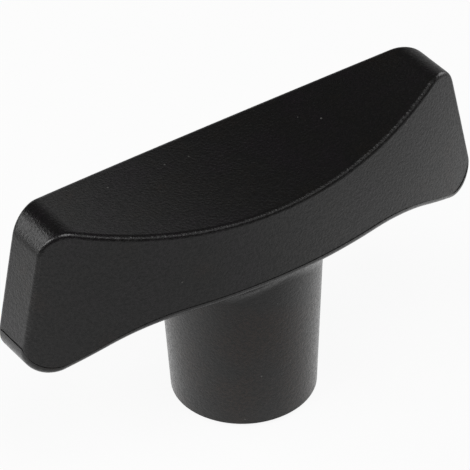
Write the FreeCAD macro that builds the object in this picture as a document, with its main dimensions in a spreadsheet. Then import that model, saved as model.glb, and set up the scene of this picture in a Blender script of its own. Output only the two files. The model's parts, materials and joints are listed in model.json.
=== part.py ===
# Clamping knob: a dished grip bar on a round hub, one plastic moulding
# around a knurled brass bush with a blind thread.
# X runs along the bar, Y from front to back and Z up. The origin is the
# centre of the bush's clamping face. Lengths are millimetres, angles degrees.

import FreeCAD, Part
import math
import os
import Sketcher

from FreeCAD import Vector

# Driving sizes. Heights on the moulding are taken from the foot of the hub.
SIZES = [
    ("bar_length", 80.2, "grip bar from tip to tip"),
    ("face_overhang", 0.44, "bar beyond the wall of the hub, front and rear, at the parting line"),
    ("plan_radius", 88.5, "bulge of the front and rear faces seen from above"),
    ("face_draft", 5.5, "lean of the front and rear faces"),
    ("dish_radius", 95.0, "hollow along the top of the bar"),
    ("dish_height", 39.9, "lowest point of the hollow"),
    ("end_lean", 12.0, "lean of the two end faces"),
    ("top_corner_radius", 4.25, "round between the hollow and an end face"),
    ("tip_radius", 4.15, "round under each end face"),
    ("tip_drop", 5.5, "tips below the underside beside the hub"),
    ("arm_height", 27.4, "underside beside the hub"),
    ("arm_droop", 23.5, "slope of the underside towards the tips"),
    ("shoulder_radius", 30.0, "bend where the underside starts to slope"),
    ("grip_edge_radius", 0.8, "edge round of the upper mould half"),
    ("under_edge_radius", 1.35, "edge round of the lower mould half"),
    ("lower_band", 1.4, "parting line above the underside"),
    ("mould_step", 0.1, "upper mould half inside the lower one"),
    ("blank_margin", 5.0, "bar blank beyond the finished front and rear"),
    ("hub_diameter", 22.25, "hub at its foot"),
    ("hub_taper", 2.75, "hub widens upwards by this lean"),
    ("hub_foot_chamfer", 0.4, "edge at the foot"),
    ("hub_root_radius", 3.45, "hollow round where the hub meets the bar"),
    ("insert_diameter", 15.0, "brass bush over the knurl"),
    ("insert_length", 20.0, "bush from face to closed end"),
    ("insert_proud", 0.3, "clamping face below the foot of the hub"),
    ("insert_foot_chamfer", 0.25, "outer edge of the clamping face"),
    ("collar_length", 2.5, "smooth collar that seals against the mould"),
    ("lock_groove_width", 3.0, "groove that the plastic grips"),
    ("lock_groove_depth", 1.25, "depth of that groove"),
    ("knurl_depth", 0.5, "depth of one knurl notch"),
    ("knurl_count", 24, "notches round the bush"),
    ("thread_core_diameter", 8.376, "core of the M10 thread"),
    ("thread_depth", 15.0, "wall of the blind hole, face to drill point"),
    ("thread_mouth_diameter", 10.6, "countersink at the clamping face"),
    ("drill_point_angle", 118.0, "bottom of the blind hole"),
]

doc = FreeCAD.newDocument("ClampingKnob")
sheet = doc.addObject("Spreadsheet::Sheet", "Sizes")


def fill_sheet():
    for row, (alias, value, note) in enumerate(SIZES, start=1):
        sheet.set("A%d" % row, note)
        sheet.set("B%d" % row, str(value))
        sheet.setAlias("B%d" % row, alias)
    doc.recompute()


def size(alias):
    return float(sheet.get(alias))


def slope(alias):
    return math.radians(size(alias))


def origin_plane(body, role):
    return next(item for item in body.Origin.OriginFeatures if item.Role == role)


def add_sketch(body, role, name):
    sketch = body.newObject("Sketcher::SketchObject", name)
    sketch.AttachmentSupport = [(origin_plane(body, role), "")]
    sketch.MapMode = "FlatFace"
    return sketch


def add_line(sketch, start, end):
    return sketch.addGeometry(Part.LineSegment(Vector(*start, 0), Vector(*end, 0)), False)


def add_arc(sketch, centre, radius, start_angle, end_angle):
    circle = Part.Circle(Vector(*centre, 0), Vector(0, 0, 1), radius)
    return sketch.addGeometry(Part.ArcOfCircle(circle, start_angle, end_angle), False)


def fix(sketch, kind, *places):
    sketch.addConstraint(Sketcher.Constraint(kind, *places))


def dimension(sketch, name, formula, kind, *places):
    index = sketch.addConstraint(Sketcher.Constraint(kind, *places))
    sketch.renameConstraint(index, name)
    sketch.setExpression("Constraints." + name, formula)


def add_feature(body, kind, name, **values):
    feature = body.newObject("PartDesign::" + kind, name)
    for key, value in values.items():
        setattr(feature, key, value)
    return feature


def mirror(body, feature, role, name):
    result = add_feature(body, "Mirrored", name, Originals=[feature])
    result.MirrorPlane = (origin_plane(body, role), [""])
    body.Tip = result
    doc.recompute()
    return result


# Places in a sketch: 1 is the start of an edge, 2 its end and 3 its centre.
# Edge -1 is the sketch's own origin with the flat axis, -2 the upright axis.
START, END, CENTRE = range(1, 4)
X_AXIS_INDEX, Z_AXIS_INDEX = -1, -2


def lower_outline(sketch, lift, inset, tip_end_angle):
    """Underside of the right half: flat, shoulder, sloping arm and tip round."""
    radius = size("tip_radius")
    bend = size("shoulder_radius")
    droop = slope("arm_droop")
    lift_now = size(lift) if lift else 0.0
    inset_now = size(inset) if inset else 0.0
    flat_height = size("arm_height") + lift_now
    tip = (size("bar_length") / 2 - inset_now - radius, flat_height - size("tip_drop") + radius)
    slope_end = (tip[0] - radius * math.sin(droop), tip[1] - radius * math.cos(droop))
    corner = slope_end[0] - (flat_height - slope_end[1]) / math.tan(droop)
    reach = bend * math.tan(droop / 2)
    flat_end = (corner - reach, flat_height)
    slope_start = (corner + reach * math.cos(droop), flat_height - reach * math.sin(droop))
    quarter = math.pi / 2

    flat = add_line(sketch, (0, flat_height), flat_end)
    shoulder = add_arc(sketch, (flat_end[0], flat_height - bend), bend, quarter - droop, quarter)
    arm = add_line(sketch, slope_start, slope_end)
    tip_round = add_arc(sketch, tip, radius, -quarter - droop, tip_end_angle)

    plus_lift = " + Sizes." + lift if lift else ""
    minus_inset = " - Sizes." + inset if inset else ""
    fix(sketch, "PointOnObject", flat, START, Z_AXIS_INDEX)
    fix(sketch, "Horizontal", flat)
    fix(sketch, "Tangent", flat, END, shoulder, END)
    fix(sketch, "Tangent", shoulder, START, arm, START)
    fix(sketch, "Tangent", arm, END, tip_round, START)
    dimension(sketch, "arm_height", "Sizes.arm_height" + plus_lift,
              "DistanceY", X_AXIS_INDEX, START, flat, START, flat_height)
    dimension(sketch, "shoulder_radius", "Sizes.shoulder_radius", "Radius", shoulder, bend)
    dimension(sketch, "arm_droop", "Sizes.arm_droop", "Angle", arm, END, flat, END, droop)
    dimension(sketch, "tip_radius", "Sizes.tip_radius", "Radius", tip_round, radius)
    dimension(sketch, "tip_reach", "Sizes.bar_length / 2 - Sizes.tip_radius" + minus_inset,
              "DistanceX", X_AXIS_INDEX, START, tip_round, CENTRE, tip[0])
    dimension(sketch, "tip_height",
              "Sizes.arm_height - Sizes.tip_drop + Sizes.tip_radius" + plus_lift,
              "DistanceY", X_AXIS_INDEX, START, tip_round, CENTRE, tip[1])
    return flat, tip_round, tip


def bar_profile(sketch, inset):
    """Right half of the bar seen from the front."""
    lean = slope("end_lean")
    dish = size("dish_radius")
    corner = size("top_corner_radius")
    flat, tip_round, tip = lower_outline(sketch, None, inset, lean)

    # The corner round lies inside the end face and outside the dish circle.
    out = Vector(math.cos(lean), math.sin(lean), 0)
    along = Vector(-math.sin(lean), math.cos(lean), 0)
    end_start = Vector(*tip, 0) + out * size("tip_radius")
    dish_centre = Vector(0, size("dish_height") + dish, 0)
    from_dish = end_start - out * corner - dish_centre
    half = from_dish.dot(along)
    run = -half - math.sqrt(half ** 2 - from_dish.dot(from_dish) + (dish + corner) ** 2)
    corner_centre = dish_centre + from_dish + along * run
    to_dish = (dish_centre - corner_centre).normalize()
    dish_end = corner_centre + to_dish * corner
    dish_end_angle = math.atan2(dish_end.y - dish_centre.y, dish_end.x)
    corner_end_angle = math.atan2(to_dish.y, to_dish.x)

    end_stop = end_start + along * run
    end_face = add_line(sketch, (end_start.x, end_start.y), (end_stop.x, end_stop.y))
    corner_round = add_arc(sketch, (corner_centre.x, corner_centre.y), corner, lean, corner_end_angle)
    hollow = add_arc(sketch, (0, dish_centre.y), dish, -math.pi / 2, dish_end_angle)
    middle = add_line(sketch, (0, size("dish_height")), (0, size("arm_height")))

    fix(sketch, "Tangent", tip_round, END, end_face, START)
    fix(sketch, "Tangent", end_face, END, corner_round, START)
    fix(sketch, "Tangent", corner_round, END, hollow, END)
    fix(sketch, "PointOnObject", hollow, CENTRE, Z_AXIS_INDEX)
    fix(sketch, "Coincident", hollow, START, middle, START)
    fix(sketch, "PointOnObject", middle, START, Z_AXIS_INDEX)
    fix(sketch, "Coincident", middle, END, flat, START)
    dimension(sketch, "end_lean", "Sizes.end_lean", "Angle", middle, END, end_face, START, lean)
    dimension(sketch, "top_corner_radius", "Sizes.top_corner_radius",
              "Radius", corner_round, corner)
    dimension(sketch, "dish_radius", "Sizes.dish_radius", "Radius", hollow, dish)
    dimension(sketch, "dish_height", "Sizes.dish_height",
              "DistanceY", X_AXIS_INDEX, START, hollow, START, size("dish_height"))


# Half the width of the bar in its middle, at the parting line.
HALF_WIDTH = "(Sizes.hub_diameter / 2 + Sizes.face_overhang" \
             " + (Sizes.arm_height + Sizes.lower_band) * tan(Sizes.hub_taper))"


def add_bar(body, inset):
    """Bar blank: the profile padded to both sides and mirrored."""
    sketch = add_sketch(body, "XZ_Plane", body.Name + "_profile")
    bar_profile(sketch, inset)
    blank = add_feature(body, "Pad", body.Name + "_blank", Profile=sketch, Midplane=True)
    blank.setExpression("Length", "2 * " + HALF_WIDTH + " + 2 * Sizes.blank_margin")
    doc.recompute()
    mirror(body, blank, "YZ_Plane", body.Name + "_both_arms")


def add_side_faces(body, inset):
    """Cuts the bulged front face with its draft, and the rear one by mirror."""
    radius = size("plan_radius")
    draft = slope("face_draft")
    parting = size("arm_height") + size("lower_band")
    bar_half = size("hub_diameter") / 2 + size("face_overhang") + parting * math.tan(slope("hub_taper"))
    half_width = bar_half * math.cos(draft) + parting * math.sin(draft)
    if inset:
        half_width -= size(inset)
    half_length = size("bar_length") / 2 + size("blank_margin")
    outer = half_width + 2 * size("blank_margin")
    rise = radius - math.sqrt(radius ** 2 - half_length ** 2)
    angle = math.asin(half_length / radius)
    half_formula = "(" + HALF_WIDTH + " * cos(Sizes.face_draft)" \
                   " + (Sizes.arm_height + Sizes.lower_band) * sin(Sizes.face_draft)" \
                   + (" - Sizes." + inset if inset else "") + ")"

    # The outline lies on a plane through the foot that leans with the face,
    # so that a straight cut gives the draft.
    sketch = add_sketch(body, "XY_Plane", body.Name + "_front_outline")
    sketch.AttachmentOffset = FreeCAD.Placement(
        Vector(0, 0, 0), FreeCAD.Rotation(Vector(1, 0, 0), -size("face_draft")))
    sketch.setExpression("AttachmentOffset.Rotation.Angle", "-Sizes.face_draft")
    face = add_arc(sketch, (0, radius - half_width), radius,
                   -math.pi / 2 - angle, -math.pi / 2 + angle)
    right = add_line(sketch, (half_length, rise - half_width), (half_length, -outer))
    front = add_line(sketch, (half_length, -outer), (-half_length, -outer))
    left = add_line(sketch, (-half_length, -outer), (-half_length, rise - half_width))
    fix(sketch, "Coincident", face, END, right, START)
    fix(sketch, "Coincident", right, END, front, START)
    fix(sketch, "Coincident", front, END, left, START)
    fix(sketch, "Coincident", left, END, face, START)
    fix(sketch, "Vertical", right)
    fix(sketch, "Horizontal", front)
    fix(sketch, "Vertical", left)
    fix(sketch, "PointOnObject", face, CENTRE, Z_AXIS_INDEX)
    fix(sketch, "Symmetric", face, START, face, END, Z_AXIS_INDEX)
    dimension(sketch, "plan_radius", "Sizes.plan_radius", "Radius", face, radius)
    dimension(sketch, "face_reach", "Sizes.plan_radius - " + half_formula,
              "DistanceY", X_AXIS_INDEX, START, face, CENTRE, radius - half_width)
    dimension(sketch, "outline_reach", "Sizes.bar_length / 2 + Sizes.blank_margin",
              "DistanceX", X_AXIS_INDEX, START, right, START, half_length)
    dimension(sketch, "outline_front", half_formula + " + 2 * Sizes.blank_margin",
              "DistanceY", front, START, X_AXIS_INDEX, START, outer)

    cut = add_feature(body, "Pocket", body.Name + "_front_face", Profile=sketch,
                      Type="ThroughAll", Reversed=True)
    doc.recompute()
    mirror(body, cut, "XZ_Plane", body.Name + "_side_faces")


def edge_names(shape, wanted):
    return ["Edge%d" % (number + 1) for number, edge in enumerate(shape.Edges) if wanted(edge)]


def round_edges(body, name, radius, names):
    base = body.Tip
    result = add_feature(body, "Fillet", name, Base=(base, names))
    result.setExpression("Radius", radius)
    body.Tip = result
    doc.recompute()


def side_face_edges(shape):
    """Names of the edges round the two drafted side faces."""
    draft = slope("face_draft")
    rims = []
    for face in shape.Faces:
        middle = face.Surface.parameter(face.CenterOfMass)
        normal = face.normalAt(*middle)
        if abs(abs(normal.y) - math.cos(draft)) < 0.001 and abs(normal.x) < 0.001:
            rims.extend(face.OuterWire.Edges)
    return edge_names(shape, lambda edge: any(edge.isSame(rim) for rim in rims))


def hub_root_edges(shape):
    """Names of the edges where the tapered wall of the hub runs into the bar."""
    cones = [face for face in shape.Faces if isinstance(face.Surface, Part.Cone)]
    wall = max(cones, key=lambda face: face.Area)
    half_way = size("arm_height") / 2
    return edge_names(shape, lambda edge: edge.BoundBox.ZMin > half_way
                      and any(edge.isSame(rim) for rim in wall.Edges))


def cut_at_parting(body, keep_above):
    """Removes what lies on the other side of the parting line."""
    sketch = add_sketch(body, "XZ_Plane", body.Name + "_parting")
    flat, tip_round, tip = lower_outline(sketch, "lower_band", None, 0.0)
    flat_height = size("arm_height") + size("lower_band")
    reach = size("bar_length") / 2 + size("blank_margin")
    stop = -size("blank_margin")
    stop_formula = "-Sizes.blank_margin"
    if not keep_above:
        stop = size("dish_height") + size("dish_radius")
        stop_formula = "Sizes.dish_height + Sizes.dish_radius"
    ledge = add_line(sketch, (tip[0] + size("tip_radius"), tip[1]), (reach, tip[1]))
    side = add_line(sketch, (reach, tip[1]), (reach, stop))
    across = add_line(sketch, (reach, stop), (0, stop))
    middle = add_line(sketch, (0, stop), (0, flat_height))
    fix(sketch, "Horizontal", ledge)
    fix(sketch, "Perpendicular", ledge, START, tip_round, END)
    fix(sketch, "Coincident", ledge, END, side, START)
    fix(sketch, "Vertical", side)
    fix(sketch, "Coincident", side, END, across, START)
    fix(sketch, "Horizontal", across)
    fix(sketch, "Coincident", across, END, middle, START)
    fix(sketch, "Vertical", middle)
    fix(sketch, "Coincident", middle, END, flat, START)
    dimension(sketch, "cut_reach", "Sizes.bar_length / 2 + Sizes.blank_margin",
              "DistanceX", X_AXIS_INDEX, START, side, START, reach)
    dimension(sketch, "cut_height", stop_formula, "DistanceY", X_AXIS_INDEX, START, across, END, stop)
    cut = add_feature(body, "Pocket", body.Name + "_parting_cut", Profile=sketch,
                      Type="ThroughAll", Midplane=True)
    doc.recompute()
    mirror(body, cut, "YZ_Plane", body.Name + "_parted")


def add_hub(body):
    """Tapered hub and the hollow round that carries it into the bar."""
    taper = slope("hub_taper")
    chamfer = size("hub_foot_chamfer")
    foot_radius = size("hub_diameter") / 2
    top = size("arm_height") + size("under_edge_radius")
    top_radius = foot_radius + top * math.tan(taper)
    wall_start = (foot_radius + chamfer * math.tan(taper), chamfer)

    sketch = add_sketch(body, "XZ_Plane", body.Name + "_hub_outline")
    base = add_line(sketch, (0, 0), (foot_radius - chamfer, 0))
    foot_edge = add_line(sketch, (foot_radius - chamfer, 0), wall_start)
    wall = add_line(sketch, wall_start, (top_radius, top))
    lid = add_line(sketch, (top_radius, top), (0, top))
    middle = add_line(sketch, (0, top), (0, 0))
    fix(sketch, "Coincident", base, START, X_AXIS_INDEX, START)
    fix(sketch, "Horizontal", base)
    fix(sketch, "Coincident", base, END, foot_edge, START)
    fix(sketch, "Coincident", foot_edge, END, wall, START)
    fix(sketch, "Coincident", wall, END, lid, START)
    fix(sketch, "Horizontal", lid)
    fix(sketch, "Coincident", lid, END, middle, START)
    fix(sketch, "Coincident", middle, END, base, START)
    fix(sketch, "Vertical", middle)
    dimension(sketch, "foot_width", "Sizes.hub_diameter / 2 - Sizes.hub_foot_chamfer",
              "DistanceX", base, START, base, END, foot_radius - chamfer)
    dimension(sketch, "foot_rise", "Sizes.hub_foot_chamfer",
              "DistanceY", foot_edge, START, foot_edge, END, chamfer)
    dimension(sketch, "hub_top", "Sizes.arm_height + Sizes.under_edge_radius",
              "DistanceY", X_AXIS_INDEX, START, lid, END, top)
    dimension(sketch, "hub_top_radius",
              "Sizes.hub_diameter / 2 + (Sizes.arm_height + Sizes.under_edge_radius)"
              " * tan(Sizes.hub_taper)",
              "DistanceX", X_AXIS_INDEX, START, lid, START, top_radius)
    dimension(sketch, "hub_taper", "Sizes.hub_taper", "Angle", wall, START, middle, END, taper)
    turned = add_feature(body, "Revolution", body.Name + "_hub", Profile=sketch, Angle=360)
    turned.ReferenceAxis = (sketch, ["V_Axis"])
    doc.recompute()

    round_edges(body, body.Name + "_hub_root", "Sizes.hub_root_radius",
                hub_root_edges(turned.Shape))


def make_mould_half(name, inset, edge_radius, keep_above):
    """What one half of the mould forms: the bar rounded all over, then parted."""
    body = doc.addObject("PartDesign::Body", name)
    add_bar(body, inset)
    add_side_faces(body, inset)
    round_edges(body, name + "_edge_rounds", "Sizes." + edge_radius,
                side_face_edges(body.Tip.Shape))
    if not keep_above:
        add_hub(body)
    cut_at_parting(body, keep_above)
    body.setExpression("Placement.Base.z", "Sizes.insert_proud")
    return body


def bush_outline(sketch):
    """Half section of the solid bush, from the clamping face up."""
    radius = size("insert_diameter") / 2
    length = size("insert_length")
    foot = size("insert_foot_chamfer")
    collar = size("collar_length")
    groove = size("lock_groove_width")
    depth = size("lock_groove_depth")
    groove_start = collar + (length - collar - groove) / 2
    points = [(0, 0), (radius - foot, 0), (radius, foot), (radius, groove_start),
              (radius - depth, groove_start), (radius - depth, groove_start + groove),
              (radius, groove_start + groove), (radius, length), (0, length)]
    edges = [add_line(sketch, points[i], points[(i + 1) % len(points)]) for i in range(len(points))]
    for before, after in zip(edges, edges[1:] + edges[:1]):
        fix(sketch, "Coincident", before, END, after, START)
    face, foot_edge, lower_land, step_in, floor, step_out, upper_land, top, middle = edges
    fix(sketch, "Coincident", face, START, X_AXIS_INDEX, START)
    for edge in (face, step_in, step_out, top):
        fix(sketch, "Horizontal", edge)
    for edge in (lower_land, floor, upper_land, middle):
        fix(sketch, "Vertical", edge)
    start = "Sizes.collar_length + (Sizes.insert_length - Sizes.collar_length" \
            " - Sizes.lock_groove_width) / 2"
    dimension(sketch, "length", "Sizes.insert_length", "DistanceY", middle, END, middle, START, length)
    dimension(sketch, "radius", "Sizes.insert_diameter / 2",
              "DistanceX", X_AXIS_INDEX, START, lower_land, START, radius)
    dimension(sketch, "upper_radius", "Sizes.insert_diameter / 2",
              "DistanceX", X_AXIS_INDEX, START, upper_land, START, radius)
    dimension(sketch, "foot_inset", "Sizes.insert_foot_chamfer",
              "DistanceX", foot_edge, START, foot_edge, END, foot)
    dimension(sketch, "foot_rise", "Sizes.insert_foot_chamfer",
              "DistanceY", foot_edge, START, foot_edge, END, foot)
    dimension(sketch, "groove_start", start, "DistanceY", X_AXIS_INDEX, START, step_in, START, groove_start)
    dimension(sketch, "groove_width", "Sizes.lock_groove_width",
              "DistanceY", floor, START, floor, END, groove)
    dimension(sketch, "groove_depth", "Sizes.lock_groove_depth",
              "DistanceX", step_in, END, step_in, START, depth)


def add_knurl(body):
    """Straight knurl above the collar: one square notch turned round the axis."""
    radius = size("insert_diameter") / 2
    depth = size("knurl_depth")
    sketch = add_sketch(body, "XY_Plane", body.Name + "_notch")
    sketch.setExpression("AttachmentOffset.Base.z", "Sizes.collar_length")
    bottom = (radius - depth, 0)
    left = (radius + depth, 2 * depth)
    right = (radius + depth, -2 * depth)
    upper = add_line(sketch, bottom, left)
    outside = add_line(sketch, left, right)
    lower = add_line(sketch, right, bottom)
    fix(sketch, "Coincident", upper, END, outside, START)
    fix(sketch, "Coincident", outside, END, lower, START)
    fix(sketch, "Coincident", lower, END, upper, START)
    fix(sketch, "PointOnObject", upper, START, X_AXIS_INDEX)
    fix(sketch, "Symmetric", outside, START, outside, END, X_AXIS_INDEX)
    fix(sketch, "Perpendicular", upper, lower)
    dimension(sketch, "notch_bottom", "Sizes.insert_diameter / 2 - Sizes.knurl_depth",
              "DistanceX", X_AXIS_INDEX, START, upper, START, radius - depth)
    dimension(sketch, "notch_reach", "2 * Sizes.knurl_depth",
              "DistanceX", upper, START, upper, END, 2 * depth)
    notch = add_feature(body, "Pocket", body.Name + "_first_notch", Profile=sketch, Reversed=True)
    notch.setExpression("Length", "Sizes.insert_length - Sizes.collar_length")
    doc.recompute()
    knurl = add_feature(body, "PolarPattern", body.Name + "_knurl", Originals=[notch], Angle=360)
    knurl.Axis = (sketch, ["N_Axis"])
    knurl.setExpression("Occurrences", "Sizes.knurl_count")
    body.Tip = knurl
    doc.recompute()


def make_bush(name):
    body = doc.addObject("PartDesign::Body", name)
    sketch = add_sketch(body, "XZ_Plane", name + "_outline")
    bush_outline(sketch)
    turned = add_feature(body, "Revolution", name + "_turned", Profile=sketch, Angle=360)
    turned.ReferenceAxis = (sketch, ["V_Axis"])
    doc.recompute()
    add_knurl(body)
    return body


def add_threaded_hole(body):
    """Blind hole at the thread's core, with a countersunk mouth and a drill point."""
    core = size("thread_core_diameter") / 2
    mouth = size("thread_mouth_diameter") / 2
    depth = size("thread_depth")
    point = slope("drill_point_angle") / 2
    tip = depth + core / math.tan(point)
    sketch = add_sketch(body, "XZ_Plane", body.Name + "_hole")
    points = [(0, 0), (mouth, 0), (core, mouth - core), (core, depth), (0, tip)]
    edges = [add_line(sketch, points[i], points[(i + 1) % len(points)]) for i in range(len(points))]
    for before, after in zip(edges, edges[1:] + edges[:1]):
        fix(sketch, "Coincident", before, END, after, START)
    face, sink, wall, cone, middle = edges
    fix(sketch, "Coincident", face, START, X_AXIS_INDEX, START)
    fix(sketch, "Horizontal", face)
    fix(sketch, "Vertical", wall)
    fix(sketch, "Vertical", middle)
    dimension(sketch, "mouth", "Sizes.thread_mouth_diameter / 2",
              "DistanceX", face, START, face, END, mouth)
    dimension(sketch, "core", "Sizes.thread_core_diameter / 2",
              "DistanceX", X_AXIS_INDEX, START, wall, START, core)
    dimension(sketch, "sink", "(Sizes.thread_mouth_diameter - Sizes.thread_core_diameter) / 2",
              "DistanceY", sink, START, sink, END, mouth - core)
    dimension(sketch, "depth", "Sizes.thread_depth",
              "DistanceY", X_AXIS_INDEX, START, wall, END, depth)
    dimension(sketch, "point", "Sizes.thread_core_diameter / 2 / tan(Sizes.drill_point_angle / 2)",
              "DistanceY", cone, START, cone, END, tip - depth)
    hole = add_feature(body, "Groove", body.Name + "_blind_hole", Profile=sketch, Angle=360)
    hole.ReferenceAxis = (sketch, ["V_Axis"])
    doc.recompute()


def make_knob_body(seat):
    """Both mould halves in one piece, with the room that the bush takes up."""
    upper = make_mould_half("upper_mould_half", "mould_step", "grip_edge_radius", True)
    lower = make_mould_half("lower_mould_half", None, "under_edge_radius", False)
    moulding = doc.addObject("Part::MultiFuse", "moulding")
    moulding.Shapes = [upper, lower]
    knob = doc.addObject("Part::Cut", "knob_body")
    knob.Base = moulding
    knob.Tool = seat
    doc.recompute()
    return knob


def check_and_write(pieces):
    failed = [item.Label for item in doc.Objects
              if "Invalid" in item.State or "Error" in item.State]
    if failed:
        raise RuntimeError("not built: " + ", ".join(failed))
    for piece in pieces:
        if piece.Shape.isNull() or not piece.Shape.isValid() or len(piece.Shape.Solids) != 1:
            raise RuntimeError(piece.Label + " is not one valid solid")
    os.makedirs("parts", exist_ok=True)
    for piece in pieces:
        piece.Shape.exportStep("parts/%s.step" % piece.Label)
        box = piece.Shape.BoundBox
        print("%s: %.1f mm3, x %.2f to %.2f, y %.2f to %.2f, z %.2f to %.2f" % (
            piece.Label, piece.Shape.Volume, box.XMin, box.XMax, box.YMin, box.YMax,
            box.ZMin, box.ZMax))


fill_sheet()
threaded_insert = make_bush("threaded_insert")
add_threaded_hole(threaded_insert)
knob_body = make_knob_body(make_bush("insert_seat"))
check_and_write([knob_body, threaded_insert])
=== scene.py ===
import json
import math

import bpy
from mathutils import Matrix, Vector


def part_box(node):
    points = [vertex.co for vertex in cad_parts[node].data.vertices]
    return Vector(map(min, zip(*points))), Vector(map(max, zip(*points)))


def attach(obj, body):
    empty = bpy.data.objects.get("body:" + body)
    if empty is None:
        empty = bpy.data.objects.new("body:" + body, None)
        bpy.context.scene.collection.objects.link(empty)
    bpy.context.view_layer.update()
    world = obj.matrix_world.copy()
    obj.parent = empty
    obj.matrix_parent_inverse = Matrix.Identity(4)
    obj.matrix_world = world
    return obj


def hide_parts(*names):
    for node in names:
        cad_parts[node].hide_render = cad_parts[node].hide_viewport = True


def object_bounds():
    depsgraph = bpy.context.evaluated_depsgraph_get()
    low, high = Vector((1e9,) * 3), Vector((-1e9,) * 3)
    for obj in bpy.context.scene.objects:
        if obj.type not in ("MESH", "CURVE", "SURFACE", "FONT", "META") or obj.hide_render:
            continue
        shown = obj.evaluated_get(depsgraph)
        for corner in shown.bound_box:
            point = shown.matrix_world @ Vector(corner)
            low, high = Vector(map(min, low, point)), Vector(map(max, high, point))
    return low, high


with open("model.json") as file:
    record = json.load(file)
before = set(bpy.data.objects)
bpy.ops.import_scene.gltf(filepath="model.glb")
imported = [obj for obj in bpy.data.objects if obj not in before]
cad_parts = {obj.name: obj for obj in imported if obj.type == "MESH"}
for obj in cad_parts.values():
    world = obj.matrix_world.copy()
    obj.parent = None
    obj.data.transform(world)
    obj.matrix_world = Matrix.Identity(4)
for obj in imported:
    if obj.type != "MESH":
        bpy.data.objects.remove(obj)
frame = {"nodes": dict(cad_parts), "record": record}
cadLow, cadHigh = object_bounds()
record = frame["record"]
mm = 0.001


# Small helpers for selecting and shaping by hand

def deselectAll():
    if bpy.context.mode != "OBJECT":
        bpy.ops.object.mode_set(mode="OBJECT")
    bpy.ops.object.select_all(action="DESELECT")


def pick(piece):
    deselectAll()
    piece.select_set(True)
    bpy.context.view_layer.objects.active = piece


def selectOnly(piece, indices):
    # selects these vertices with what lies between them, and goes into edit mode
    bpy.ops.object.mode_set(mode="OBJECT")
    chosen = set(indices)
    for vertex in piece.data.vertices:
        vertex.select = vertex.index in chosen
    for part in (*piece.data.edges, *piece.data.polygons):
        part.select = chosen.issuperset(part.vertices)
    bpy.ops.object.mode_set(mode="EDIT")


def tidyNormals(gap):
    # works in edit mode on the whole piece
    bpy.ops.mesh.select_all(action="SELECT")
    bpy.ops.mesh.remove_doubles(threshold=gap)
    bpy.ops.mesh.normals_make_consistent(inside=False)
    bpy.ops.object.mode_set(mode="OBJECT")


def applyModifier(piece, kind, **values):
    pick(piece)
    modifier = piece.modifiers.new("step", kind)
    for key, value in values.items():
        setattr(modifier, key, value)
    bpy.ops.object.modifier_apply(modifier=modifier.name)


# Node helpers

def addNode(tree, kind, **values):
    node = tree.nodes.new(kind)
    for key, value in values.items():
        setattr(node, key, value)
    return node


def join(tree, source, output, target, inputName):
    tree.links.new(source.outputs[output], target.inputs[inputName])


def addRange(tree, fromMin, fromMax, toMin, toMax):
    span = addNode(tree, "ShaderNodeMapRange")
    for name, value in (("From Min", fromMin), ("From Max", fromMax),
                        ("To Min", toMin), ("To Max", toMax)):
        span.inputs[name].default_value = value
    return span


# sockets of a Mix node by number, because its names repeat: for numbers and for colours
numberMix = {"share": 0, "first": 2, "second": 3, "result": 0}
colourMix = {"share": 0, "first": 6, "second": 7, "result": 2}


def newMaterial(name):
    material = bpy.data.materials.new(name)
    material.use_nodes = True
    material.node_tree.nodes.clear()
    return material, material.node_tree


def addSurface(tree, colour, colourOutput, rough, bump, metallic):
    shader = addNode(tree, "ShaderNodeBsdfPrincipled")
    shader.inputs["Metallic"].default_value = metallic
    output = addNode(tree, "ShaderNodeOutputMaterial")
    join(tree, colour, colourOutput, shader, "Base Color")
    join(tree, rough, "Result", shader, "Roughness")
    join(tree, bump, "Normal", shader, "Normal")
    join(tree, shader, "BSDF", output, "Surface")


def paint(piece, material):
    piece.data.materials.clear()
    piece.data.materials.append(material)


# Camera

cameraSettings = {
    "azimuth": -33.615,          # seen from the front left
    "elevation": 37.388,
    "roll": -1.637,
    "distance": 0.59995,
    "lens": 301.80,              # in millimetres, as is the sensor
    "sensorWidth": 36,
    "nearClip": 0.01,
    "farClip": 50,
    "aimHeight": 0.3 * mm,       # middle of the hub's foot
    "aimAcross": 243.86,         # where that point lies in the picture, in pixels
    "aimDown": 378.573,
    "pictureSize": 470,
}


def makeCamera(s):
    a, e, r = (math.radians(s[key]) for key in ("azimuth", "elevation", "roll"))
    back = Vector((math.sin(a) * math.cos(e), -math.cos(a) * math.cos(e), math.sin(e)))
    level = Vector((math.cos(a), math.sin(a), 0))
    upright = back.cross(level)
    right = math.cos(r) * level + math.sin(r) * upright
    up = math.cos(r) * upright - math.sin(r) * level
    bpy.ops.object.camera_add()
    camera = bpy.context.object
    camera.name = "studioCamera"
    camera.data.sensor_width = s["sensorWidth"]
    camera.data.lens = s["lens"]
    camera.data.clip_start = s["nearClip"]
    camera.data.clip_end = s["farClip"]
    middle = s["pictureSize"] / 2
    pixelsPerUnit = s["pictureSize"] * s["lens"] / s["sensorWidth"]
    across = (s["aimAcross"] - middle) / pixelsPerUnit
    above = (middle - s["aimDown"]) / pixelsPerUnit
    place = Vector((0, 0, s["aimHeight"])) + s["distance"] * (back - across * right - above * up)
    turn = Matrix((right, up, back)).transposed().to_4x4()
    camera.matrix_world = Matrix.Translation(place) @ turn
    bpy.context.scene.camera = camera


makeCamera(cameraSettings)
print("camera placed")


# Studio: floor, background and lamps

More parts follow.
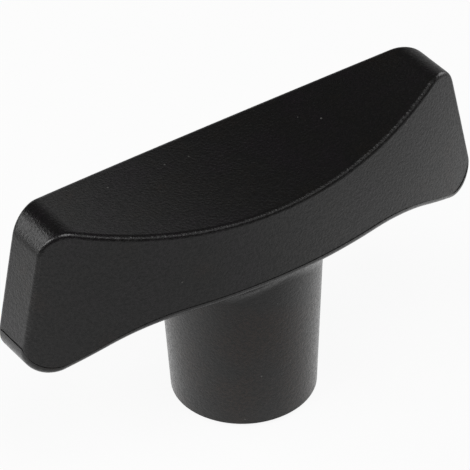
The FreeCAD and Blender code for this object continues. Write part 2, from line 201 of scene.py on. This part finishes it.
studio = {
    "floorSize": 8,
    "floorGap": 0.02 * mm,           # keeps the foot and the floor from sharing a plane
    "floorColour": (0.8, 0.8, 0.8, 1),
    "floorWhite": 0.92,              # share of the floor that is plain white, not matt
    "roomColour": (0.03, 0.03, 0.03, 1),
    "roomWhite": 0.015,              # white in reflections of the room
    "nearFloor": 0.60,               # painted pool of light: white in reflections of the floor near the object
    "lightPool": (-0.025, 0),             # its middle
    "lightPoolRadii": (0.05, 0.20),       # it fades out between these
    "openFloor": 0.37,               # white in reflections of the rest of the floor
    "frontShade": (-0.02, -0.06),          # painted shade in front: a dark spot which adds none of it
    "frontShadeRadii": (0.03, 0.07),
    "lampDistance": 1.2,
    "lampSize": 0.6,
    "lamps": [
        # name, azimuth, elevation, power
        ("topSoftbox", 0, 66, 5.4),
        ("leftSoftbox", -90, 42, 6.5),
        ("rightSoftbox", 90, 15, 3.2),
        ("frontSoftbox", 30, 42, 0.85),
        ("lowLeftSoftbox", -120, 15, 3.1),
        ("rearLeftSoftbox", -150, 30, 2.5),
        ("rearRightSoftbox", 150, 15, 0.22),
        ("lowRightSoftbox", 120, 15, 0.3),
    ],
}


def addReflected(tree, rays):
    # 1 for a ray that left glass or a glossy surface
    mirrored = addNode(tree, "ShaderNodeMath", operation="MAXIMUM")
    join(tree, rays, "Is Glossy Ray", mirrored, 0)
    join(tree, rays, "Is Transmission Ray", mirrored, 1)
    return mirrored


def addSpot(tree, centre, radii, inside, outside):
    # a soft round spot on the floor, used for a painted pool of light and a painted shade
    place = addNode(tree, "ShaderNodeTexCoord")
    away = addNode(tree, "ShaderNodeVectorMath", operation="DISTANCE")
    away.inputs[1].default_value = (*centre, cadLow.z)
    fade = addRange(tree, *radii, inside, outside)
    fade.interpolation_type = "SMOOTHSTEP"
    join(tree, place, "Object", away, 0)
    join(tree, away, "Value", fade, "Value")
    return fade


def makeWorld(s):
    world = bpy.data.worlds.new("paleStudio")
    bpy.context.scene.world = world
    world.use_nodes = True
    tree = world.node_tree
    tree.nodes.clear()
    rays = addNode(tree, "ShaderNodeLightPath")
    share = addNode(tree, "ShaderNodeMath", operation="MULTIPLY_ADD")
    share.inputs[1].default_value = s["roomWhite"]
    room = addNode(tree, "ShaderNodeBackground")
    white = addNode(tree, "ShaderNodeBackground")
    mix = addNode(tree, "ShaderNodeMixShader")
    output = addNode(tree, "ShaderNodeOutputWorld")
    room.inputs["Color"].default_value = s["roomColour"]
    white.inputs["Color"].default_value = (1, 1, 1, 1)
    join(tree, addReflected(tree, rays), "Value", share, 0)
    join(tree, rays, "Is Camera Ray", share, 2)
    join(tree, share, "Value", mix, "Fac")
    join(tree, room, "Background", mix, 1)
    join(tree, white, "Background", mix, 2)
    join(tree, mix, "Shader", output, "Surface")


def makeFloor(s):
    deselectAll()
    bpy.ops.mesh.primitive_plane_add(size=s["floorSize"], location=(0, 0, cadLow.z - s["floorGap"]))
    floor = bpy.context.object
    floor.name = "studioFloor"
    bpy.ops.object.transform_apply(location=True, rotation=True, scale=True)
    material, tree = newMaterial("paleFloor")
    rays = addNode(tree, "ShaderNodeLightPath")
    visible = addNode(tree, "ShaderNodeMath", operation="MAXIMUM")
    share = addNode(tree, "ShaderNodeMath", operation="MULTIPLY")
    share.inputs[1].default_value = s["floorWhite"]
    # painted pool of light: the floor's reflections are brighter near the object
    lightPool = addSpot(tree, s["lightPool"], s["lightPoolRadii"], s["nearFloor"], 0)
    # painted shade: a dark spot in front that dims the floor's reflections
    frontShade = addSpot(tree, s["frontShade"], s["frontShadeRadii"], 0, s["openFloor"])
    reflected = addNode(tree, "ShaderNodeMath", operation="ADD")
    strength = addNode(tree, "ShaderNodeMath", operation="MAXIMUM")
    matt = addNode(tree, "ShaderNodeBsdfDiffuse")
    glow = addNode(tree, "ShaderNodeEmission")
    mix = addNode(tree, "ShaderNodeMixShader")
    output = addNode(tree, "ShaderNodeOutputMaterial")
    matt.inputs["Color"].default_value = s["floorColour"]
    glow.inputs["Color"].default_value = (1, 1, 1, 1)
    join(tree, addReflected(tree, rays), "Value", visible, 0)
    join(tree, rays, "Is Camera Ray", visible, 1)
    join(tree, visible, "Value", share, 0)
    join(tree, lightPool, "Result", reflected, 0)
    join(tree, frontShade, "Result", reflected, 1)
    join(tree, reflected, "Value", strength, 0)
    join(tree, rays, "Is Camera Ray", strength, 1)
    join(tree, strength, "Value", glow, "Strength")
    join(tree, share, "Value", mix, "Fac")
    join(tree, matt, "BSDF", mix, 1)
    join(tree, glow, "Emission", mix, 2)
    join(tree, mix, "Shader", output, "Surface")
    paint(floor, material)


def makeLamps(s):
    middle = (cadLow + cadHigh) / 2
    for name, azimuth, elevation, power in s["lamps"]:
        a, e = math.radians(azimuth), math.radians(elevation)
        away = Vector((math.sin(a) * math.cos(e), -math.cos(a) * math.cos(e), math.sin(e)))
        deselectAll()
        bpy.ops.object.light_add(type="AREA", location=middle + away * s["lampDistance"])
        lamp = bpy.context.object
        lamp.name = name
        lamp.data.name = name
        lamp.data.shape = "SQUARE"
        lamp.data.size = s["lampSize"]
        lamp.data.energy = power
        lamp.rotation_euler = away.to_track_quat("Z", "Y").to_euler()


makeWorld(studio)
makeFloor(studio)
makeLamps(studio)
bpy.context.scene.view_settings.view_transform = "Standard"
print("studio ready")


# Finishes

def makePatchGroup():
    # soft patches that make a finish uneven, from 0 to 1 with most of it near 0.5
    group = bpy.data.node_groups.new("patchyFinish", "ShaderNodeTree")
    group.interface.new_socket("Patch Size", in_out="INPUT", socket_type="NodeSocketFloat")
    group.interface.new_socket("Stretch", in_out="INPUT", socket_type="NodeSocketVector")
    group.interface.new_socket("Patches", in_out="OUTPUT", socket_type="NodeSocketFloat")
    start = addNode(group, "NodeGroupInput")
    finish = addNode(group, "NodeGroupOutput")
    place = addNode(group, "ShaderNodeTexCoord")
    stretched = addNode(group, "ShaderNodeVectorMath", operation="MULTIPLY")
    scale = addNode(group, "ShaderNodeMath", operation="DIVIDE")
    scale.inputs[0].default_value = 1
    noise = addNode(group, "ShaderNodeTexNoise")
    noise.inputs["Detail"].default_value = 3
    join(group, place, "Object", stretched, 0)
    join(group, start, "Stretch", stretched, 1)
    join(group, start, "Patch Size", scale, 1)
    join(group, stretched, "Vector", noise, "Vector")
    join(group, scale, "Value", noise, "Scale")
    join(group, noise, "Fac", finish, "Patches")
    return group


patchGroup = makePatchGroup()


def addPatches(tree, size, stretch=(1, 1, 1)):
    patches = addNode(tree, "ShaderNodeGroup", node_tree=patchGroup)
    patches.inputs["Patch Size"].default_value = size
    patches.inputs["Stretch"].default_value = stretch
    return patches


def addTints(tree, stops):
    # a colour ramp with these positions and colours
    ramp = addNode(tree, "ShaderNodeValToRGB")
    ramp.color_ramp.elements.remove(ramp.color_ramp.elements[1])
    ramp.color_ramp.elements[0].position = stops[0][0]
    ramp.color_ramp.elements[0].color = stops[0][1]
    for position, colour in stops[1:]:
        ramp.color_ramp.elements.new(position).color = colour
    return ramp


# Moulded plastic

plastic = {
    "tints": [                       # from a violet to a brown black
        (0.36, (0.0053, 0.0043, 0.0051, 1)),
        (0.50, (0.0047, 0.0044, 0.0043, 1)),
        (0.64, (0.0052, 0.0045, 0.0041, 1)),
        (0.80, (0.0090, 0.0047, 0.0028, 1)),
    ],
    "tintSize": 9 * mm,
    "hubTint": 0.24,                 # how far the hub leans to the brown
    "hubTop": (22 * mm, 30 * mm),    # between these heights that fades out
    "pebbleSize": 0.44 * mm,         # mould texture
    "pebbleHeight": 0.070 * mm,
    "grainSize": 0.19 * mm,          # finer grain on top of it
    "grainShare": 0.35,
    "grainSpan": (0.4, 0.6),         # from hollow to crown, in the noise's own height
    "hollowRoughness": 0.36,         # between the pebbles
    "crownRoughness": 0.20,          # on top of them
    "grainShadeSpan": (0.38, 0.62),        # painted shade and highlight: the colour darkens towards the grain's hollows and lightens towards its crowns, over these noise heights
    "hollowShade": 0.25,              # share of the colour left in the hollows as painted shade; the crowns get as much more as painted highlight
    "speckSpacing": 2.2 * mm,        # dust and fibre ends
    "speckRadius": 0.07,             # as a share of the spacing
    "speckShare": 0.25,              # of the cells that hold one
    "speckColour": (0.08, 0.08, 0.075, 1),
}


def makeGrainGroup():
    # mould texture: round pebbles with a finer grain on them
    group = bpy.data.node_groups.new("mouldGrain", "ShaderNodeTree")
    for name in ("Pebble Size", "Grain Size", "Grain Share"):
        group.interface.new_socket(name, in_out="INPUT", socket_type="NodeSocketFloat")
    group.interface.new_socket("Height", in_out="OUTPUT", socket_type="NodeSocketFloat")
    start = addNode(group, "NodeGroupInput")
    finish = addNode(group, "NodeGroupOutput")
    place = addNode(group, "ShaderNodeTexCoord")
    mix = addNode(group, "ShaderNodeMix", data_type="FLOAT")
    for size, layer in (("Pebble Size", "first"), ("Grain Size", "second")):
        scale = addNode(group, "ShaderNodeMath", operation="DIVIDE")
        scale.inputs[0].default_value = 1
        noise = addNode(group, "ShaderNodeTexNoise")
        noise.inputs["Detail"].default_value = 1
        join(group, start, size, scale, 1)
        join(group, place, "Object", noise, "Vector")
        join(group, scale, "Value", noise, "Scale")
        join(group, noise, "Fac", mix, numberMix[layer])
    join(group, start, "Grain Share", mix, numberMix["share"])
    join(group, mix, numberMix["result"], finish, "Height")
    return group


def makeSpecks(tree, place, s):
    # some cells of a wide Voronoi pattern show their middle
    cells = addNode(tree, "ShaderNodeTexVoronoi")
    cells.inputs["Scale"].default_value = 1 / s["speckSpacing"]
    near = addNode(tree, "ShaderNodeMath", operation="LESS_THAN")
    near.inputs[1].default_value = s["speckRadius"]
    split = addNode(tree, "ShaderNodeSeparateColor")
    picked = addNode(tree, "ShaderNodeMath", operation="LESS_THAN")
    picked.inputs[1].default_value = s["speckShare"]
    speck = addNode(tree, "ShaderNodeMath", operation="MULTIPLY")
    join(tree, place, "Object", cells, "Vector")
    join(tree, cells, "Distance", near, 0)
    join(tree, cells, "Color", split, "Color")
    join(tree, split, "Red", picked, 0)
    join(tree, near, "Value", speck, 0)
    join(tree, picked, "Value", speck, 1)
    return speck


def makePlastic(s):
    material, tree = newMaterial("mouldedPlastic")
    place = addNode(tree, "ShaderNodeTexCoord")
    grain = addNode(tree, "ShaderNodeGroup", node_tree=makeGrainGroup())
    grain.inputs["Pebble Size"].default_value = s["pebbleSize"]
    grain.inputs["Grain Size"].default_value = s["grainSize"]
    grain.inputs["Grain Share"].default_value = s["grainShare"]
    bump = addNode(tree, "ShaderNodeBump")
    bump.inputs["Strength"].default_value = 1
    bump.inputs["Distance"].default_value = s["pebbleHeight"]
    rough = addRange(tree, *s["grainSpan"], s["hollowRoughness"], s["crownRoughness"])
    join(tree, grain, "Height", bump, "Height")
    join(tree, grain, "Height", rough, "Value")

    patches = addPatches(tree, s["tintSize"])
    split = addNode(tree, "ShaderNodeSeparateXYZ")
    onHub = addRange(tree, *s["hubTop"], s["hubTint"], 0)
    browner = addNode(tree, "ShaderNodeMath", operation="ADD")
    tint = addTints(tree, s["tints"])
    # painted shade in the grain's hollows and painted highlight on its crowns, as darker and
    # lighter colour
    shade = addRange(tree, *s["grainShadeSpan"], s["hollowShade"], 2 - s["hollowShade"])
    shaded = addNode(tree, "ShaderNodeVectorMath", operation="SCALE")
    speckled = addNode(tree, "ShaderNodeMix", data_type="RGBA")
    speckled.inputs[colourMix["second"]].default_value = s["speckColour"]
    join(tree, place, "Object", split, "Vector")
    join(tree, split, "Z", onHub, "Value")
    join(tree, patches, "Patches", browner, 0)
    join(tree, onHub, "Result", browner, 1)
    join(tree, browner, "Value", tint, "Fac")
    join(tree, grain, "Height", shade, "Value")
    join(tree, tint, "Color", shaded, 0)
    join(tree, shade, "Result", shaded, "Scale")
    join(tree, makeSpecks(tree, place, s), "Value", speckled, colourMix["share"])
    join(tree, shaded, "Vector", speckled, colourMix["first"])
    addSurface(tree, speckled, colourMix["result"], rough, bump, 0)
    return material


paint(frame["nodes"]["knob_body"], makePlastic(plastic))
print("plastic made")


# Brass bush: knurled outside, with a threaded blind hole

bushLow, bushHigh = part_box("threaded_insert")
threadMount = next(mount for mount in record["mounts"] if mount["name"] == "thread")

bush = {
    "radius": (bushHigh.x - bushLow.x) / 2,
    "length": bushHigh.z - bushLow.z,
    "footChamfer": 0.25 * mm,
    "collar": 2.5 * mm,            # smooth part next to the clamping face
    "grooveWidth": 3 * mm,
    "grooveDepth": 1.25 * mm,
    "notches": 24,
    "notchDepth": 0.5 * mm,
    "columnsPerNotch": 4,
    "coreRadius": threadMount["dims"]["r_mm"] * mm,
    "mouthRadius": 5.3 * mm,
    "holeDepth": 15 * mm,
    "pointAngle": 118,
    "threadRadius": 5 * mm,
    "pitch": 1.5 * mm,
    "crestShare": 1 / 8,           # flat bottom of the thread's groove, as a share of the pitch
    "flankAngle": 30,
    "threadTurns": 10,
    "threadLead": 1.6 * mm,        # how far below the face the cut starts
    "stepsPerTurn": 64,
    "overlap": 0.2 * mm,           # how far a cutter reaches past what it cuts
    "mergeGap": 0.001 * mm,        # points nearer than this become one
    "coilMergeGap": 0.0001 * mm,
    "smoothAngle": 30,             # edges sharper than this stay sharp
}


def turnOnLathe(name, columns, outline, mergeGap, notchEvery=1):
    # outline rows are height, radius and radius at the notches, from the bottom up
    deselectAll()
    height, radius, notchRadius = outline[0]
    bpy.ops.mesh.primitive_circle_add(vertices=columns, radius=radius, fill_type="NGON",
                                      location=(0, 0, height))
    piece = bpy.context.object
    piece.name = name
    bpy.ops.object.transform_apply(location=True, rotation=False, scale=False)
    bpy.ops.object.mode_set(mode="EDIT")
    bpy.ops.mesh.select_all(action="SELECT")
    for newHeight, newRadius, newNotchRadius in outline[1:]:
        lift = (0, 0, newHeight - height)
        bpy.ops.mesh.extrude_region_move(TRANSFORM_OT_translate={"value": lift})
        bpy.ops.object.mode_set(mode="OBJECT")
        ring = [vertex.index for vertex in piece.data.vertices if vertex.select]
        lands = [index for index in ring if (index - ring[0]) % notchEvery]
        notches = [index for index in ring if (index - ring[0]) % notchEvery == 0]
        middle = (0, 0, newHeight)
        for part, ratio in ((lands, newRadius / radius), (notches, newNotchRadius / notchRadius)):
            if part and newRadius:
                selectOnly(piece, part)
                bpy.ops.transform.resize(value=(ratio, ratio, 1), center_override=middle)
        selectOnly(piece, ring)
        if not newRadius:
            bpy.ops.mesh.merge(type="CENTER")
        height, radius, notchRadius = newHeight, newRadius, newNotchRadius
    tidyNormals(mergeGap)
    return piece


def makeThreadCutter(s):
    # a closed coil with the section of the thread's groove
    root = s["coreRadius"] - s["overlap"]
    depth = s["threadRadius"] - root
    crestWidth = s["pitch"] * s["crestShare"]
    rootWidth = crestWidth + 2 * depth * math.tan(math.radians(s["flankAngle"]))
    deselectAll()
    bpy.ops.mesh.primitive_plane_add(size=1, rotation=(math.pi / 2, 0, 0))
    coil = bpy.context.object
    coil.name = "threadCutter"
    bpy.ops.object.transform_apply(location=False, rotation=True, scale=False)
    outer = [vertex.index for vertex in coil.data.vertices if vertex.co.x > 0]
    bpy.ops.object.mode_set(mode="EDIT")
    bpy.ops.mesh.select_all(action="SELECT")
    bpy.ops.transform.resize(value=(depth, 1, rootWidth), center_override=(0, 0, 0))
    bpy.ops.transform.translate(value=(root + depth / 2, 0, -s["threadLead"]))
    bpy.ops.mesh.delete(type="ONLY_FACE")
    selectOnly(coil, outer)
    bpy.ops.transform.resize(value=(1, 1, crestWidth / rootWidth),
                             center_override=(s["threadRadius"], 0, -s["threadLead"]))
    bpy.ops.object.mode_set(mode="OBJECT")
    applyModifier(coil, "SCREW", axis="Z", angle=2 * math.pi, screw_offset=s["pitch"],
                  iterations=s["threadTurns"], steps=s["stepsPerTurn"],
                  render_steps=s["stepsPerTurn"], use_normal_calculate=False)
    bpy.ops.object.mode_set(mode="EDIT")
    bpy.ops.mesh.select_all(action="SELECT")
    bpy.ops.mesh.fill_holes(sides=4)
    tidyNormals(s["coilMergeGap"])
    return coil


def makeBush(s):
    radius, length = s["radius"], s["length"]
    bottom = radius - s["notchDepth"]
    neck = radius - s["grooveDepth"]
    grooveStart = s["collar"] + (length - s["collar"] - s["grooveWidth"]) / 2
    grooveEnd = grooveStart + s["grooveWidth"]
    piece = turnOnLathe("threaded_insert_detailed", s["notches"] * s["columnsPerNotch"], [
        (0, radius - s["footChamfer"], radius - s["footChamfer"]),
        (s["footChamfer"], radius, radius),
        (s["collar"], radius, radius),
        (s["collar"], radius, bottom),
        (grooveStart, radius, bottom),
        (grooveStart, neck, neck),
        (grooveEnd, neck, neck),
        (grooveEnd, radius, bottom),
        (length, radius, bottom),
    ], s["mergeGap"], s["columnsPerNotch"])
    core, mouth, reach = s["coreRadius"], s["mouthRadius"], s["overlap"]
    tip = s["holeDepth"] + core / math.tan(math.radians(s["pointAngle"] / 2))
    drill = turnOnLathe("drill", s["stepsPerTurn"], [
        (-reach, mouth + reach, mouth + reach),
        (mouth - core, core, core),
        (s["holeDepth"], core, core),
        (tip, 0, 0),
    ], s["mergeGap"])
    for cutter in (drill, makeThreadCutter(s)):
        applyModifier(piece, "BOOLEAN", operation="DIFFERENCE", object=cutter, solver="EXACT")
        bpy.data.objects.remove(cutter)
    pick(piece)
    bpy.ops.object.shade_smooth_by_angle(angle=math.radians(s["smoothAngle"]))
    return piece


# Turned brass

brass = {
    "tints": [                       # bare and slightly tarnished metal
        (0.35, (0.80, 0.62, 0.31, 1)),
        (0.55, (0.74, 0.56, 0.27, 1)),
        (0.72, (0.62, 0.44, 0.20, 1)),
    ],
    "tintSize": 4 * mm,
    "tintStretch": (1, 1, 1.6),      # patches are shorter along the axis
    "roughness": (0.16, 0.38),
    "ringSpan": (0.25, 0.75),        # over these heights of the rings
    "ringWidth": 0.09 * mm,          # marks of the turning tool
    "ringHeight": 0.006 * mm,
}


def makeBrass(s):
    material, tree = newMaterial("turnedBrass")
    # the tool leaves rings, so the pattern reads only the radius and the height
    place = addNode(tree, "ShaderNodeTexCoord")
    flat = addNode(tree, "ShaderNodeVectorMath", operation="MULTIPLY")
    flat.inputs[1].default_value = (1, 1, 0)
    radius = addNode(tree, "ShaderNodeVectorMath", operation="LENGTH")
    split = addNode(tree, "ShaderNodeSeparateXYZ")
    ringPlace = addNode(tree, "ShaderNodeCombineXYZ")
    rings = addNode(tree, "ShaderNodeTexNoise")
    rings.inputs["Scale"].default_value = 1 / s["ringWidth"]
    rings.inputs["Detail"].default_value = 2
    join(tree, place, "Object", flat, 0)
    join(tree, flat, "Vector", radius, 0)
    join(tree, place, "Object", split, "Vector")
    join(tree, radius, "Value", ringPlace, "X")
    join(tree, split, "Z", ringPlace, "Z")
    join(tree, ringPlace, "Vector", rings, "Vector")
    bump = addNode(tree, "ShaderNodeBump")
    bump.inputs["Strength"].default_value = 1
    bump.inputs["Distance"].default_value = s["ringHeight"]
    join(tree, rings, "Fac", bump, "Height")
    rough = addRange(tree, *s["ringSpan"], *s["roughness"])
    join(tree, rings, "Fac", rough, "Value")
    tarnish = addPatches(tree, s["tintSize"], s["tintStretch"])
    tint = addTints(tree, s["tints"])
    join(tree, tarnish, "Patches", tint, "Fac")
    addSurface(tree, tint, "Color", rough, bump, 1)
    return material


bushPiece = makeBush(bush)
paint(bushPiece, makeBrass(brass))
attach(bushPiece, "root")
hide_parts("threaded_insert")
print("bush turned,", len(bushPiece.data.polygons), "faces")
